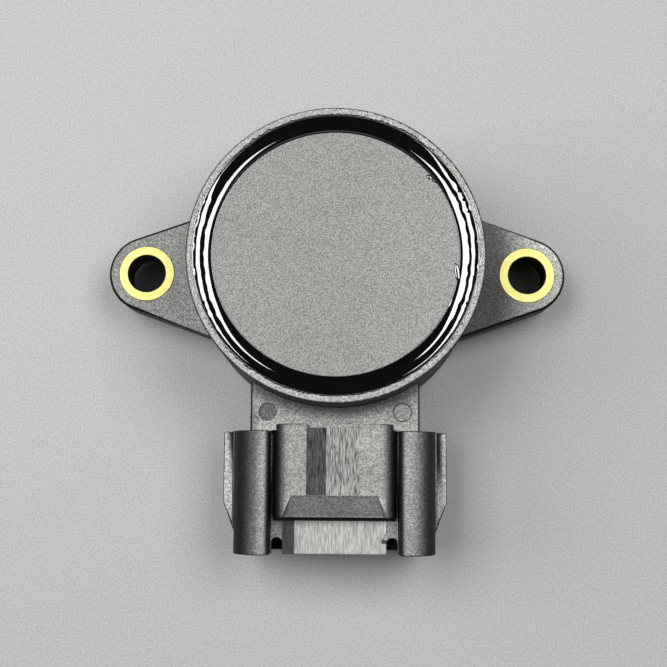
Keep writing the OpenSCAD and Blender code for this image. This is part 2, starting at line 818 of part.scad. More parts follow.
module signal_wiper() {
    wiper(signal_angle, resist_r);
}

module idle_wiper() {
    wiper(idle_angle, idle_r);
}

module thrust_washer() {
    color([0.85, 0.85, 0.82]) translate([0, 0, boss_top]) difference() {
        cylinder(r = boss_r, h = thrust_t);
        translate([0, 0, -eps]) cylinder(r = journal_r + 4 * journal_gap, h = thrust_t + 2 * eps);
    }
}

// A cone washer: outer edge on the rotor's hub, inner edge on the lid's boss
module spring_washer() {
    inner = pin_r + washer_play;
    outer = hub_r - 2 * washer_play;
    color([0.7, 0.7, 0.72]) rotate_extrude() polygon([[inner, lid_boss_z - washer_t],
        [outer, hub_top], [outer, hub_top + washer_t], [inner, lid_boss_z]]);
}

// The spring's route: rotor leg, coil running clockwise upward, anchor leg
function spring_turn(t) = [coil_r * cos(leg_angle - 360 * t), coil_r * sin(leg_angle - 360 * t),
    coil_z + coil_pitch * t];
function leg_end(length, turn, z) = [coil_r * cos(leg_angle) + length * cos(leg_angle + turn),
    coil_r * sin(leg_angle) + length * sin(leg_angle + turn), z];
turn_steps = 20;
spring_route = concat([leg_end(rotor_leg, 90, coil_z)],
    [for (k = [0 : coil_turns * turn_steps]) spring_turn(k / turn_steps)],
    [leg_end(anchor_leg, -90, coil_top)]);

// A round wire swept along a route that never runs straight up
module wire(route, r, sides) {
    last = len(route) - 1;
    dirs = [for (k = [0 : last]) let (d = route[min(k + 1, last)] - route[max(k - 1, 0)]) d / norm(d)];
    rings = [for (k = [0 : last]) let (side = cross(dirs[k], [0, 0, 1]), n = side / norm(side),
        b = cross(dirs[k], n)) for (s = [0 : sides - 1])
        route[k] + r * (cos(360 * s / sides) * n + sin(360 * s / sides) * b)];
    polyhedron(rings, concat([[for (s = [0 : sides - 1]) s]],
        [[for (s = [sides - 1 : -1 : 0]) last * sides + s]],
        [for (k = [0 : last - 1], s = [0 : sides - 1]) let (e = (s + 1) % sides)
            [k * sides + s, (k + 1) * sides + s, (k + 1) * sides + e, k * sides + e]]));
}

module return_spring() {
    color([0.6, 0.6, 0.62]) wire(spring_route, wire_r, 8);
}

housing();
bush_left();
bush_right();
lid();
sealant_ring();
terminal(0);  // terminal_1
terminal(1);  // terminal_2
terminal(2);  // terminal_3
terminal(3);  // terminal_4
resistor_board();
tracks();
solder_joints();
rotor();
signal_wiper();
idle_wiper();
thrust_washer();
return_spring();
spring_washer();
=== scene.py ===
import math

import bpy
import bmesh
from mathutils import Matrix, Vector, noise
from mathutils.kdtree import KDTree


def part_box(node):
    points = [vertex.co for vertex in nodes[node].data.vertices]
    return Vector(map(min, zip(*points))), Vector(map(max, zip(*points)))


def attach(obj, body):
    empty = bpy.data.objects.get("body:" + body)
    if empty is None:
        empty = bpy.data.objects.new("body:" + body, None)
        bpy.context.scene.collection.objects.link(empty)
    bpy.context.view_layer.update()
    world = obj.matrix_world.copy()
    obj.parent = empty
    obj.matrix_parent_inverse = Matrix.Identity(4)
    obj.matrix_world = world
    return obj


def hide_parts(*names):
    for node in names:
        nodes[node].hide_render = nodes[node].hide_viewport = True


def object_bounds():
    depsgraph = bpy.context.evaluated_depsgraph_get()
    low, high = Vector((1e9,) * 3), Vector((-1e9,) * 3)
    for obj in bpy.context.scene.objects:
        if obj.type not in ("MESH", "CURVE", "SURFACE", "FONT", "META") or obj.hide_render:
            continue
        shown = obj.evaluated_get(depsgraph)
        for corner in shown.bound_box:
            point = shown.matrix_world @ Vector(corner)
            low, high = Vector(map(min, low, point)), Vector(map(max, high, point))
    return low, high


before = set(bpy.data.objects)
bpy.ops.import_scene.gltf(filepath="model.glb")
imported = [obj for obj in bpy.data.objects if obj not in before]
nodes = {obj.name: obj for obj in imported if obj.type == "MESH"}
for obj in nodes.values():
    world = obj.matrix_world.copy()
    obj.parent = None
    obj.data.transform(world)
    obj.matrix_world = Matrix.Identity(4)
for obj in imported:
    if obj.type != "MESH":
        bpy.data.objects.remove(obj)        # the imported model: bodies, nodes, joints, record
cadBox = [list(corner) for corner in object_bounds()]
mm = 0.001


# Camera

cameraLook = {
    "place": (1.48, -28.03, 159.0),      # mm, above the connector
    "turn": (7.246, 0.639, 0.398),       # degrees about X, Y and Z
    "focalPixels": 1100,                 # focal length, in the picture's pixels
    "imagePixels": 667,                  # width of the picture
    "sensor": 36,                        # mm
    "nearest": 5,                        # mm: closer than this nothing is seen
}


def addCamera(look):
    data = bpy.data.cameras.new("camera")
    data.sensor_width = look["sensor"]
    data.lens = look["sensor"] * look["focalPixels"] / look["imagePixels"]
    data.clip_start = look["nearest"] * mm
    camera = bpy.data.objects.new("camera", data)
    camera.location = [v * mm for v in look["place"]]
    camera.rotation_euler = [math.radians(v) for v in look["turn"]]
    bpy.context.scene.collection.objects.link(camera)
    bpy.context.scene.camera = camera


addCamera(cameraLook)
print("camera placed")


# Small helpers for node materials

# parts of a noise field's range over which a shade or a roughness changes
fineNoise = (0.34, 0.66)
slowNoise = (0.3, 0.7)
wholeNoise = (0.2, 0.8)
upward = (0, 0, 1)


class Shader:
    # one material's node tree, with short calls to add nodes and join them
    def __init__(self, name):
        self.material = bpy.data.materials.new(name)
        self.material.use_nodes = True
        self.tree = self.material.node_tree
        self.surface = self.tree.nodes["Principled BSDF"]
        self.place = self.tree.nodes.new("ShaderNodeTexCoord").outputs["Object"]
        split = self.tree.nodes.new("ShaderNodeSeparateXYZ")
        self.tree.links.new(self.place, split.inputs[0])
        self.x, self.y, self.z = split.outputs

    def join(self, source, socket):
        if hasattr(source, "is_output"):
            self.tree.links.new(source, socket)
        elif hasattr(socket, "default_value"):
            socket.default_value = source

    def math(self, kind, a, b=0.0, c=0.0, clamp=False):
        node = self.tree.nodes.new("ShaderNodeMath")
        node.operation = kind
        node.use_clamp = clamp
        for value, socket in zip((a, b, c), node.inputs):
            self.join(value, socket)
        return node.outputs[0]

    def ramp(self, value, low, high, lowOut=0.0, highOut=1.0):
        node = self.tree.nodes.new("ShaderNodeMapRange")
        node.interpolation_type = "SMOOTHSTEP"
        for source, socket in zip((value, low, high, lowOut, highOut), node.inputs):
            self.join(source, socket)
        return node.outputs[0]

    def band(self, value, low, high, soft):
        # 1 between two places in mm and 0 outside them
        rise = self.ramp(value, low * mm - soft * mm, low * mm + soft * mm)
        fall = self.ramp(value, high * mm - soft * mm, high * mm + soft * mm, 1.0, 0.0)
        return self.math("MULTIPLY", rise, fall)

    def block(self, low, high, soft=0.04):
        # a mask for the space between two corners, in mm
        mask = self.band(self.x, low[0], high[0], soft)
        mask = self.math("MULTIPLY", mask, self.band(self.y, low[1], high[1], soft))
        return self.math("MULTIPLY", mask, self.band(self.z, low[2], high[2], soft))

    def grain(self, size, detail=3.0, stretch=(1, 1, 1), rough=0.55):
        mapping = self.tree.nodes.new("ShaderNodeMapping")
        mapping.inputs["Scale"].default_value = [1 / s for s in stretch]
        self.tree.links.new(self.place, mapping.inputs[0])
        node = self.tree.nodes.new("ShaderNodeTexNoise")
        node.inputs["Scale"].default_value = 1 / (size * mm)
        node.inputs["Detail"].default_value = detail
        node.inputs["Roughness"].default_value = rough
        self.tree.links.new(mapping.outputs[0], node.inputs["Vector"])
        return node.outputs["Fac"]

    def mix(self, share, first, second):
        node = self.tree.nodes.new("ShaderNodeMix")
        node.data_type = "RGBA"
        self.join(share, node.inputs["Factor"])
        for value, socket in ((first, node.inputs["A"]), (second, node.inputs["B"])):
            if isinstance(value, tuple):
                socket.default_value = (*value, 1)
            else:
                self.join(value, socket)
        return node.outputs["Result"]

    def shade(self, color, amount):
        node = self.tree.nodes.new("ShaderNodeVectorMath")
        node.operation = "SCALE"
        self.join(color, node.inputs[0])
        self.join(amount, node.inputs["Scale"])
        return node.outputs[0]

    def bump(self, height, depth):
        # a normal from a height field and its depth in mm
        node = self.tree.nodes.new("ShaderNodeBump")
        node.inputs["Strength"].default_value = 1
        node.inputs["Distance"].default_value = depth * mm
        self.join(height, node.inputs["Height"])
        return node.outputs[0]

    def distance(self, x, y):
        # how far, in the plan view, from a place in mm
        across = self.math("POWER", self.math("SUBTRACT", self.x, x * mm), 2)
        along = self.math("POWER", self.math("SUBTRACT", self.y, y * mm), 2)
        return self.math("SQRT", self.math("ADD", across, along))

    def facing(self, axis, power):
        # how squarely the surface faces an axis, from 0 to 1
        normal = self.tree.nodes.new("ShaderNodeNewGeometry").outputs["Normal"]
        dot = self.tree.nodes.new("ShaderNodeVectorMath")
        dot.operation = "DOT_PRODUCT"
        self.tree.links.new(normal, dot.inputs[0])
        dot.inputs[1].default_value = Vector(axis).normalized()
        return self.math("POWER", self.math("MAXIMUM", dot.outputs["Value"], 0), power, clamp=True)

    def dim(self, color, mask, factor):
        # multiplies a color by a factor where the mask is 1
        return self.shade(color, self.math("MULTIPLY_ADD", mask, factor - 1, 1))

    def finish(self, color, rough, normal=None, **sockets):
        for value, name in ((color, "Base Color"), (rough, "Roughness"), (normal, "Normal")):
            if isinstance(value, tuple):
                value = (*value, 1)
            if value is not None:
                self.join(value, self.surface.inputs[name])
        for name, value in sockets.items():
            self.surface.inputs[name.replace("_", " ")].default_value = value
        return self.material


def dress(piece, material):
    # the piece is a node's name, or an object that is made here
    data = nodes[piece].data if isinstance(piece, str) else piece.data
    data.materials.clear()
    data.materials.append(material)


# Edges: each piece's sharp outer edges are rounded, and its inner ones stay sharp

edgeLook = {
    "weld": 2e-6,             # m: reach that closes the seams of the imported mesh
    "flat": 0.4,              # degrees below which faces join into one
    "sharp": 21,              # degrees above which an edge counts as sharp
    "segments": 3,
    "faceWeight": 100,        # how much the large faces decide the smooth shading
}


def markEdges(mesh, look, shareAt):
    # outer edges get their share of the rounding; inner ones and those with a share below 0 stay
    # sharp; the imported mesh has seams, so the search runs on a welded copy
    work = bmesh.new()
    work.from_mesh(mesh)
    bmesh.ops.remove_doubles(work, verts=work.verts, dist=look["weld"])
    work.verts.index_update()
    welded = KDTree(len(work.verts))
    for vert in work.verts:
        welded.insert(vert.co, vert.index)
    welded.balance()
    home = [welded.find(vert.co)[1] for vert in mesh.vertices]
    limit = math.radians(look["sharp"])
    sharp = {frozenset(end.index for end in edge.verts): edge.is_convex for edge in work.edges
             if len(edge.link_faces) == 2 and edge.calc_face_angle() > limit}
    work.free()
    shares = mesh.attributes.new("bevel_weight_edge", "FLOAT", "EDGE")
    for edge in mesh.edges:
        outer = sharp.get(frozenset(home[k] for k in edge.vertices))
        share = min(shareAt(mesh.vertices[k].co / mm) for k in edge.vertices) if outer else 0
        shares.data[edge.index].value = max(share, 0)
        edge.use_edge_sharp = outer is False or share < 0


def smoothEdges(name, width, shareAt=lambda point: 1):
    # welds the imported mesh's seams, rounds its sharp edges and smooths the rest
    piece = nodes[name]
    mesh = piece.data
    if "custom_normal" in mesh.attributes:
        mesh.attributes.remove(mesh.attributes["custom_normal"])
    mesh.shade_smooth()
    markEdges(mesh, edgeLook, shareAt)
    weld = piece.modifiers.new("weld", "WELD")
    weld.merge_threshold = edgeLook["weld"]
    flats = piece.modifiers.new("flats", "DECIMATE")
    flats.decimate_type = "DISSOLVE"
    flats.angle_limit = math.radians(edgeLook["flat"])
    bevel = piece.modifiers.new("edges", "BEVEL")
    bevel.width = width * mm
    bevel.segments = edgeLook["segments"]
    bevel.limit_method = "WEIGHT"
    bevel.harden_normals = False
    bevel.use_clamp_overlap = False
    bevel.loop_slide = False
    normals = piece.modifiers.new("normals", "WEIGHTED_NORMAL")
    normals.keep_sharp = True
    normals.weight = edgeLook["faceWeight"]


# Housing: dark glass-filled plastic with a fine spark-eroded grain, with painted sheen, light and shade
# in its color

housingLook = {
    "top": (0.36, 0.362, 0.346),         # color of what faces up, a painted sheen of the overhead light
    # color of what faces aside: the dark plastic without the painted sheen
    "side": (0.009, 0.009, 0.009),
    "paintedSheenAxis": (0.06, 0, 1),            # the way that the faces with the most painted sheen look
    "paintedSheenPower": 9,
    "upPower": 4,                        # the higher it is, the fewer slopes count as facing up
    "grain": (0.13, 0.5, 1.5),           # mm across, and its darkest and lightest shade; so below
    "mottle": (0.36, 0.76, 1.24),
    "cloud": (5, 0.93, 1.07),
    "grainDepth": 0.008,                 # mm
    "roughness": (0.44, 0.58),
    "gloss": 0.15,                       # strength of the mirrored light
    "edge": 0.5,                         # mm: rounding of the ears' outlines
    "edgeShares": (0.36, 0.12),          # of it, on wings, neck and the connector's top, and elsewhere
    "earEdge": (0.92, 0.99, 0.04),       # how squarely it faces up: dark, full; share where dark: painted shade on the ears' rounded edges
    "rim": (20.2, 1.3),                  # mm: height above which the rim's land gets painted light; its share
    "streaked": [
        # mm across: left edge, line where the shade changes, right edge; each strip takes its share of
        # the painted sheen, as painted reflection
        {"across": (-3.7, -1.1, 3.2), "along": (-30.9, -22.1), "heights": (13.9, 15),    # channel
         "shades": (0.2, 0.84), "contrast": 0.75},
        {"across": (-6.85, -5.25, 6.85), "along": (-38.7, -34.2), "heights": (11.8, 12.6),    # land
         "shades": (0.18, 1.38), "contrast": 0.36},
    ],
    "streak": (0.13, 12, 0.7),           # mm across, times as long, roughness of the field
    "streakNoise": (0.36, 0.64),
    # ejector marks: middle, radius and line width in mm, shade of the disc and painted shade of its
    # edge line
    "marks": [(-8.9, -20, 1.12, 0.1, 0.4, 0.45), (8.9, -20, 1.12, 0.16, 1.0, 0.35)],
    "markSoft": 0.03,
    "paintedLightAndShade": [
        # low corner and high corner in mm, softness in mm, share of the light: below 1 painted shade,
        # above 1 painted light
        ((-8.3, -34.4, 11.3), (8.3, -33.7, 11.75), 0.04, 0.05),    # painted shade in the groove at the lock block's foot
        ((-10.1, -38.7, 2.8), (10.1, -24.5, 10.7), 0.04, 0.3),     # painted shade inside the socket
        ((-6.7, -34.2, 12.8), (6.7, -31.2, 15.6), 0.1, 1.35),      # painted light on the ramp
        ((-14.2, -40, 9), (-10, -20, 16), 0.5, 0.6),               # painted shade on the left rail's outer side
        ((13.35, -37, 7), (13.62, -20, 9), 0.04, 3.5),             # painted highlight along the right rail
        ((-11.4, -24, 13), (11.4, -15, 14), 0.04, 1.2),            # painted light on the neck
        ((6.2, -37.2, 11.8), (7, -36.7, 12.6), 0.1, 0.15),         # painted shade standing for a nick in the land's edge
        ((-11, -23, 13), (-10.75, -16.5, 14), 0.04, 1.3),          # painted highlights along the neck's edges
        ((10.75, -23, 13), (11, -16.5, 14), 0.04, 1.4),
        ((-6.6, -33.8, 11.8), (6.6, -33.52, 15), 0.04, 1.35),      # painted highlight along the ramp's foot
        ((18, 1.5, 0), (34, 13, 12), 2.5, 1.4),                    # painted light on the far side of the right ear
        ((2.9, -33, 12), (7, -20, 17), 1, 1.1),                    # painted light on the lock block, right of the channel
    ],
    "neckHeights": (13, 14),             # mm: between them lies the neck's top
    "neckShade": (19.7, 21.4, 0.42),     # mm from the axis: dark, full; share at the cup's wall: painted shade on the neck next to the cup
    "earHeights": (-1, 5.6),             # mm: between them lie the ears
    "earAlong": (-15, 15, 0.5),          # mm, and the softness of its ends
    "earFrom": 15,                       # mm aside
    # side, mm from the axis at which the painted shading starts and ends, shares of the light there; on
    # the right, the cup's painted shadow
    "ears": [(-1, 20, 29, 1.1, 0.86), (1, 22.8, 29.5, 0.33, 1.4)],
    "wings": [(-1, 2.2), (1, 2.1)],      # side, share of the light: painted light on the wings' tops
    "wingTop": ((13.4, 17), (-38, -20), (7, 9)),    # mm aside, along and up
    "soft": 0.05,                        # mm: edges of the masks
    # where the edges take another share of the rounding, in mm
    "zones": {
        "rim": (19.5, 18.5),             # height from which it is the rim, radius of its inner edge
        "mark": (8.9, -20, 1.6, 0.05),   # aside, along, radius around an ejector mark; share
        "bush": (27, 4.8),               # aside, radius
        "ear": (20.6, -15),              # outside this radius, farther from the connector's mouth
        "wing": (10.4, -20),             # farther aside, nearer to the mouth
        "ramp": (7.4, -34.4, -30.5),     # half its width, front and rear
        "top": (11.9, 4.2, -19),         # above, farther aside, nearer to the mouth
        "neck": (11, 10.6, -14),
    },
}


def plasticColorWithPaintedSheen(s, look, grain):
    # painted sheen: the color goes from the side color to the top color as a face turns to the axis
    up = s.facing(look["paintedSheenAxis"], look["paintedSheenPower"])
    color = s.mix(up, look["side"], look["top"])
    color = s.shade(color, s.ramp(grain, *fineNoise, *look["grain"][1:]))
    for field, span in (("mottle", fineNoise), ("cloud", slowNoise)):
        size, *shades = look[field]
        color = s.shade(color, s.ramp(s.grain(size), *span, *shades))
    return color


def streakZones(s, look, color, field):
    # the channel and the land, which tools left streaked along their length, and which carry painted
    # reflection: darker at the left, lighter at the right
    soft = look["soft"]
    streaked = 0.0
    for zone in look["streaked"]:
        along = s.band(s.y, *zone["along"], soft)
        place = s.math("MULTIPLY", along, s.band(s.z, *zone["heights"], soft))
        contrast = zone["contrast"]
        streaks = s.ramp(field, *look["streakNoise"], 1 - contrast, 1 + contrast)
        # painted reflection: each strip takes a share of the painted sheen color
        for low, high, share in zip(zone["across"], zone["across"][1:], zone["shades"]):
            mask = s.math("MULTIPLY", s.band(s.x, low, high, soft), place)
            streakedSheenColor = s.shade(look["top"], s.math("MULTIPLY", streaks, share))
            color = s.mix(mask, color, streakedSheenColor)
            streaked = s.math("MAXIMUM", streaked, mask)
    return color, streaked


def markShades(s, look, color, onNeck):
    soft = look["markSoft"]
    for x, y, radius, line, shade, lineShade in look["marks"]:
        away = s.distance(x, y)
        disc = s.math("MULTIPLY", s.ramp(away, radius * mm, (radius + soft) * mm, 1, 0), onNeck)
        color = s.dim(color, disc, shade)
        # painted shade in the groove along each mark's edge
        ring = s.math("MULTIPLY", s.band(away, radius, radius + line, soft), onNeck)
        color = s.dim(color, ring, lineShade)
    return color


def earShades(s, look, color, radius, up):
    inHeight = s.band(s.z, *look["earHeights"], look["soft"])
    onEar = s.math("MULTIPLY", inHeight, s.band(s.y, *look["earAlong"]))
    # painted shade on the ears' sloping and rounded faces
    dark, full, kept = look["earEdge"]
    turned = s.ramp(s.facing(upward, 1), dark, full, 1, 0)
    color = s.dim(color, s.math("MULTIPLY", onEar, turned), kept)
    onEar = s.math("MULTIPLY", onEar, up)
    # painted light and shade across each ear, with the cup's painted shadow on the right ear
    for side, near, far, first, last in look["ears"]:
        aside = s.math("GREATER_THAN", s.math("MULTIPLY", s.x, side), look["earFrom"] * mm)
        change = s.math("SUBTRACT", s.ramp(radius, near * mm, far * mm, first, last), 1)
        mask = s.math("MULTIPLY", onEar, aside)
        color = s.shade(color, s.math("MULTIPLY_ADD", mask, change, 1))
    return color


def wingShades(s, look, color, up):
    across, along, heights = look["wingTop"]
    # painted light on the wings' tops
    for side, share in look["wings"]:
        low, high = sorted(side * v for v in across)
        place = s.block((low, along[0], heights[0]), (high, along[1], heights[1]))
        color = s.dim(color, s.math("MULTIPLY", place, up), share)
    return color


def housingMaterial(look):
    s = Shader("housing plastic")
    grain = s.grain(look["grain"][0])
    width, stretch, streakRough = look["streak"]
    streakField = s.grain(width, stretch=(1, stretch, 1), rough=streakRough)
    color = plasticColorWithPaintedSheen(s, look, grain)
    color, streaked = streakZones(s, look, color, streakField)
    up = s.facing(upward, look["upPower"])
    onNeck = s.math("MULTIPLY", s.band(s.z, *look["neckHeights"], look["soft"]), up)
    color = markShades(s, look, color, onNeck)
    # painted light on the rim's land
    height, share = look["rim"]
    color = s.dim(color, s.math("GREATER_THAN", s.z, height * mm), share)
    # painted shade and painted light, block by block
    for low, high, soft, share in look["paintedLightAndShade"]:
        color = s.dim(color, s.block(low, high, soft), share)
    radius = s.distance(0, 0)
    # painted shade on the neck next to the cup's wall
    near, far, kept = look["neckShade"]
    atWall = s.math("MULTIPLY", s.ramp(radius, near * mm, far * mm, 1, 0), onNeck)
    color = s.dim(color, atWall, kept)
    color = earShades(s, look, color, radius, up)
    color = wingShades(s, look, color, up)
    rough = s.ramp(grain, *wholeNoise, *look["roughness"])
    bumps = s.bump(s.mix(streaked, grain, streakField), look["grainDepth"])
    return s.finish(color, rough, bumps, Specular_IOR_Level=look["gloss"])


def housingEdge(point):
    # share of the widest rounding at a place in mm; at -1 the edge stays sharp
    zones = housingLook["zones"]
    radius = math.hypot(point.x, point.y)
    aside = abs(point.x)
    height, inside = zones["rim"]
    if point.z > height:             # the rim has its own rounding outside, and the sealant inside
        return 0 if radius > inside else -1
    across, along, reach, share = zones["mark"]
    if math.hypot(aside - across, point.y - along) < reach:    # the marks stay crisp
        return share
    across, reach = zones["bush"]
    nearBush = math.hypot(aside - across, point.y) < reach
    outside, along = zones["ear"]
    if radius > outside and point.y > along and not nearBush:
        return 1
    across, along = zones["wing"]
    onWing = aside > across and point.y < along
    across, front, rear = zones["ramp"]
    onRamp = aside < across and front < point.y < rear
    height, across, along = zones["top"]
    onTop = point.z > height and aside > across and point.y < along and not onRamp
    height, across, along = zones["neck"]
    onNeck = point.z > height and aside > across and point.y < along
    wide, narrow = housingLook["edgeShares"]
    return wide if onTop or onNeck or onWing else narrow


smoothEdges("housing", housingLook["edge"], housingEdge)
dress("housing", housingMaterial(housingLook))
print("housing dressed")


# Lid: bare matt disc

lidLook = {
    "color": (0.31, 0.313, 0.296),
    "grain": (0.13, 0.48, 1.52),         # mm across, and its darkest and lightest shade
    "cloud": (7, 0.97, 1.03),
    "brighter": (0, 14, 1.1),            # mm to the right: start, end; share of the light there, a painted sheen
    "grainDepth": 0.006,                 # mm
    "roughness": (0.5, 0.66),
    "gloss": 0.4,
    "edge": 0.1,                         # mm
}


def lidMaterial(look):
    s = Shader("lid plastic")
    size, *shades = look["grain"]
    grain = s.grain(size)
    color = s.shade(look["color"], s.ramp(grain, *fineNoise, *shades))
    size, *shades = look["cloud"]
    color = s.shade(color, s.ramp(s.grain(size), *slowNoise, *shades))
    # painted sheen, growing toward the right
    start, end, share = look["brighter"]
    color = s.shade(color, s.ramp(s.x, start * mm, end * mm, 1, share))
    rough = s.ramp(grain, *wholeNoise, *look["roughness"])
    return s.finish(color, rough, s.bump(grain, look["grainDepth"]), Specular_IOR_Level=look["gloss"])


smoothEdges("lid", lidLook["edge"])
dress("lid", lidMaterial(lidLook))
print("lid dressed")


# Bushes: turned brass, pale yellow

bushLook = {
    "color": (0.675, 0.62, 0.21),
    # painted shade: color of what faces aside, such as the bore's wall
    "bore": (0.2, 0.17, 0.06),
    "boreHeights": (3.4, 5),             # mm: painted shade darkest below, full above
    "boreDark": 0.1,
    "wear": (0.6, 0.92, 1.05),           # mm across, and its darkest and lightest shade
    "roughness": (0.36, 0.5),
    "metallic": 0.55,
    "turned": (0.09, 0.002),             # mm across and deep
    "upPower": 6,
    "edge": 0.05,                        # mm
}


def bushMaterial(look):
    s = Shader("bush brass")
    size, *shades = look["wear"]
    wear = s.grain(size, detail=4)
    low, high = look["boreHeights"]
    # painted shade on what faces aside, darkest low in the bore
    bore = s.shade(look["bore"], s.ramp(s.z, low * mm, high * mm, look["boreDark"], 1))
    color = s.mix(s.facing(upward, look["upPower"]), bore, look["color"])
    color = s.shade(color, s.ramp(wear, *slowNoise, *shades))
    rough = s.ramp(wear, *slowNoise, *look["roughness"])
    size, depth = look["turned"]
    bumps = s.bump(s.grain(size, detail=2), depth)
    return s.finish(color, rough, bumps, Metallic=look["metallic"])


bushMetal = bushMaterial(bushLook)
for name in ("bush_left", "bush_right"):
    smoothEdges(name, bushLook["edge"])
    dress(name, bushMetal)
print("bushes dressed")


# Sealant: glossy black compound between lid and rim, ragged where it met the rim's top

sealantLook = {
    "color": (0.001, 0.001, 0.001),
    "ior": 2.4,
    "polish": (0.5, 0.35, 0.65, 0.02, 0.06),   # mm across, noise's part, least and most roughness
    "steps": 1100,            # around the ring
    "profile": 30,            # points across it
    "width": 2.4,             # mm
    "below": 0.12,            # mm from the rim's height down to its edge at the lid
    # slope, and the share of the width at which it is met: left, right, toward the connector, away
    "slopes": [(-0.5, 0, 0, 0, 0), (-0.5, 0.05, 0.05, 0.05, 0.05), (-0.1, 0.06, 0.06, 0.06, 0.06),
               (-0.1, 0.09, 0.09, 0.07, 0.09), (-0.5, 0.1, 0.1, 0.1, 0.1),
               (-0.5, 0.19, 0.17, 0.3, 0.17), (-0.21, 0.22, 0.2, 0.4, 0.22), (0, 0.46, 0.54, 0.6, 0.45),
               (0.18, 0.68, 0.68, 0.84, 0.95), (0.42, 0.86, 0.85, 0.95, 0.99), (0.62, 1, 1, 1, 1)],
    "toConnector": (0.1, 0.8),   # of the way to that side: start and end of the change
    "away": (0.3, 0.55, 0.3),    # the same on the left, and how much later it comes on the right
    "wave": (17, 0.045),      # waves to a radian at the sides, and share of the width they take
    "waveFrom": (0.25, 0.5),  # of the width: where the waves start and are full
    "waveLess": (0.6, 0.75, 0.6),    # of the width: where they weaken, and by how much
    "waveSides": (0.75, 0.92),       # of the way to the side: where they start and are full
    "waveDrift": 3,           # how much they change over the width
    "swell": (4, 0.08),       # waves to a radian and strength of the slow change around the ring
    # place, length, width and height in mm and turn in degrees of the drops on the lid's edge
    "drops": [(12.05, 9.98, 0.9, 0.6, 0.16, -35), (12.5, 9.6, 1.2, 0.35, 0.15, -40),
              (15.55, -2.4, 2.3, 0.75, 0.12, 98)],
    "dropMesh": (6, 24),      # rings, and points in each
    "dropSunk": 0.01,         # mm of each drop below the lid's top
    "dropWaves": (900, 1.5),  # how a drop's outline depends on its place and on the angle
    "dropRag": 0.25,          # how uneven a drop's outline is
    "film": 0.035,            # mm: thickness of the film that ran onto the rim
    "filmHeight": 0.12,       # mm above the ring's edge at the lid
    "filmStart": 0.4,         # steps of the profile, from the rim's inner edge back to its start
    "filmReach": (0.06, 0.55),       # mm: least and most reach of the film over the rim
    "filmWaves": (9, 45, 0.7),       # waves to a radian, slow and fine, and strength of the fine
    "filmShares": (0.3, 0.75, 0.6),  # of the reach: thickest, thinning; of the thickness there
    "filmAhead": 0.35,        # share of the reach toward the connector and away from it
}


def sealantMaterial(look):
    s = Shader("sealant")
    size, *limits = look["polish"]
    rough = s.ramp(s.grain(size), *limits)
    return s.finish(look["color"], rough, IOR=look["ior"])


def blend(low, high, value):
    share = max(0, min(1, (value - low) / (high - low)))
    return share * share * (3 - 2 * share)


def surfaceSlope(look, ray, share, ripple):
    side = 0.5 + 0.5 * ray.x             # 0 at the left and 1 at the right
    near = blend(*look["toConnector"], -ray.y)
    start, end, later = look["away"]
    far = blend(start + later * side, end + later * side, ray.y)
    knots = []
    for slope, left, right, connector, away in look["slopes"]:
        place = left + (right - left) * side
        place += (connector - place) * near + (away - place) * far
        knots.append((place, slope))
    weaker, weakest, loss = look["waveLess"]
    strength = blend(*look["waveFrom"], share) * blend(*look["waveSides"], abs(ray.x))
    share += ripple * strength * (1 - loss * blend(weaker, weakest, share))
    for (low, first), (high, last) in zip(knots, knots[1:]):
        if share <= high or high == knots[-1][0]:
            slope = first + (last - first) * (share - low) / (high - low)
            break
    return slope


def sealantRow(look, ray, inner, outer, top, bottom):
    # one section through the ring: lid side, sagging surface, film on the rim, rim side
    swellWaves, swell = look["swell"]
    steepness = 1 + swell * noise.noise(ray * swellWaves)
    waves, wave = look["wave"]
    width = outer - inner
    step = width / look["profile"]
    points = [(inner, bottom), (inner, top)]
    level = top
    for k in range(1, look["profile"]):
        share = k / look["profile"]
        drift = Vector((0, 0, share * look["waveDrift"]))
        ripple = wave * 2 * noise.noise(ray * waves + drift)
        level += step * (surfaceSlope(look, ray, share, ripple) * steepness)
        points.append((inner + step * k, level))
    slowWaves, fineWaves, fineShare = look["filmWaves"]
    slow = noise.noise(ray * slowWaves + Vector((7, 0, 0)))    # the two fields start apart
    fine = noise.noise(ray * fineWaves + Vector((0, 3, 0)))
    least, most = look["filmReach"]
    ahead = look["filmAhead"]
    sideways = ahead + (1 - ahead) * ray.x ** 2
    spread = max(0, min(1, 0.5 + slow + fineShare * fine))
    reach = (least + (most - least) * sideways * spread) * mm
    film = look["film"] * mm
    crest = top + look["filmHeight"] * mm
    # the film rises over the rim's inner edge, thins unevenly and ends on the rim's top
    thick, thinning, left = look["filmShares"]
    points.append((outer - step * look["filmStart"], crest - film))
    points.append((outer + reach * thick, crest + film))
    points.append((outer + reach * thinning, crest + film * (left + fine)))
    points.append((outer + reach, crest - film))
    points.append((outer, bottom))
    return [ray * r + Vector((0, 0, z)) for r, z in points]


def addDrop(mesh, look, place, size, turn):
    # a low dome: rings of points from the foot up to the crown; size is length, width, height
    along = Vector((math.cos(turn), math.sin(turn), 0))
    across = Vector((-along.y, along.x, 0))
    levels, count = look["dropMesh"]
    byPlace, byAngle = look["dropWaves"]
    rings = []
    for level in range(levels):
        lean = math.pi / 2 * level / levels
        ring = []
        for k in range(count):
            angle = 2 * math.pi * k / count
            outline = noise.noise(Vector((place.x * byPlace, angle * byAngle, 0)))
            rag = 1 + look["dropRag"] * outline
            flat = along * size[0] / 2 * math.cos(angle) + across * size[1] / 2 * math.sin(angle)
            rise = Vector((0, 0, size[2] * math.sin(lean)))
            ring.append(mesh.verts.new(place + flat * math.cos(lean) * rag + rise))
        rings.append(ring)
    for a, b in zip(rings, rings[1:]):
        for k in range(count):
            j = (k + 1) % count
            mesh.faces.new((a[k], a[j], b[j], b[k]))
    mesh.faces.new(rings[0])
    mesh.faces.new(rings[-1])


